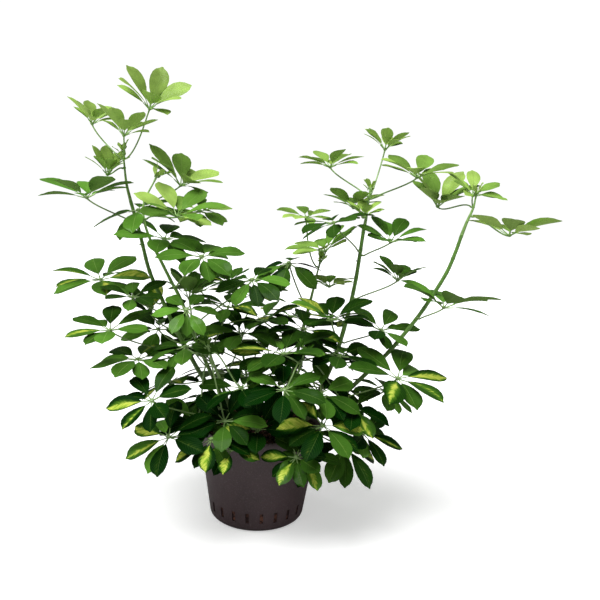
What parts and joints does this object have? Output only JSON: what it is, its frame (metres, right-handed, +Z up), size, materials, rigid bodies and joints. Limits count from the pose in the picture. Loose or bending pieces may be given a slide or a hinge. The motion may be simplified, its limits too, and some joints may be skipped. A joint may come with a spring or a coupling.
{
  "type": "potted umbrella plant",
  "caption": "Bushy umbrella plant with long arching leaf stalks and variegated glossy leaves, in a round tapered plastic culture pot with slots above its foot.",
  "frame": {"origin": "middle of the pot's flat underside, where it rests", "axes": "+Z up, +X to the viewer's right and +Y away from the viewer in the picture"},
  "size_m": [0.9751, 0.5602, 0.8792],
  "materials": {
    "pot_plastic": "satin",
    "clay": "matte",
    "cane_bark": "satin",
    "leaf_mature": "gloss",
    "leaf_young": "satin"
  },
  "bodies": {
    "root": {"pot": "pot_plastic", "granulate": "clay", "cane_left_tall": "cane_bark", "cane_left": "cane_bark", "cane_middle": "cane_bark", "cane_right": "cane_bark", "cane_back": "cane_bark", "cane_front_left": "cane_bark", "cane_front_right": "cane_bark", "cane_rear": "cane_bark", "shoot_left_tall": "leaf_young", "shoot_left": "leaf_young", "shoot_middle": "leaf_young", "shoot_right": "leaf_young", "shoot_back": "leaf_young", "shoot_front_left": "leaf_mature", "shoot_front_right": "leaf_mature", "shoot_rear": "leaf_mature", "leaf_01": "leaf_mature", "leaf_02": "leaf_mature", "leaf_03": "leaf_mature", "leaf_04": "leaf_mature", "leaf_05": "leaf_mature", "leaf_06": "leaf_mature", "leaf_07": "leaf_mature", "leaf_08": "leaf_mature", "leaf_09": "leaf_mature", "leaf_10": "leaf_mature", "leaf_11": "leaf_mature", "leaf_12": "leaf_mature", "leaf_13": "leaf_mature", "leaf_14": "leaf_mature", "leaf_15": "leaf_mature", "leaf_16": "leaf_mature", "leaf_17": "leaf_mature", "leaf_18": "leaf_mature", "leaf_19": "leaf_mature", "leaf_20": "leaf_mature", "leaf_21": "leaf_mature", "leaf_22": "leaf_mature", "leaf_23": "leaf_mature", "leaf_24": "leaf_mature", "leaf_25": "leaf_mature", "leaf_26": "leaf_mature", "leaf_27": "leaf_mature", "leaf_28": "leaf_mature", "leaf_29": "leaf_mature", "leaf_30": "leaf_mature", "leaf_31": "leaf_mature", "leaf_32": "leaf_mature", "leaf_33": "leaf_mature", "leaf_34": "leaf_mature", "leaf_35": "leaf_mature", "leaf_36": "leaf_mature", "leaf_37": "leaf_mature", "leaf_38": "leaf_mature", "leaf_39": "leaf_mature", "leaf_40": "leaf_mature", "leaf_41": "leaf_mature", "leaf_42": "leaf_mature"}
  },
  "joints": []
}
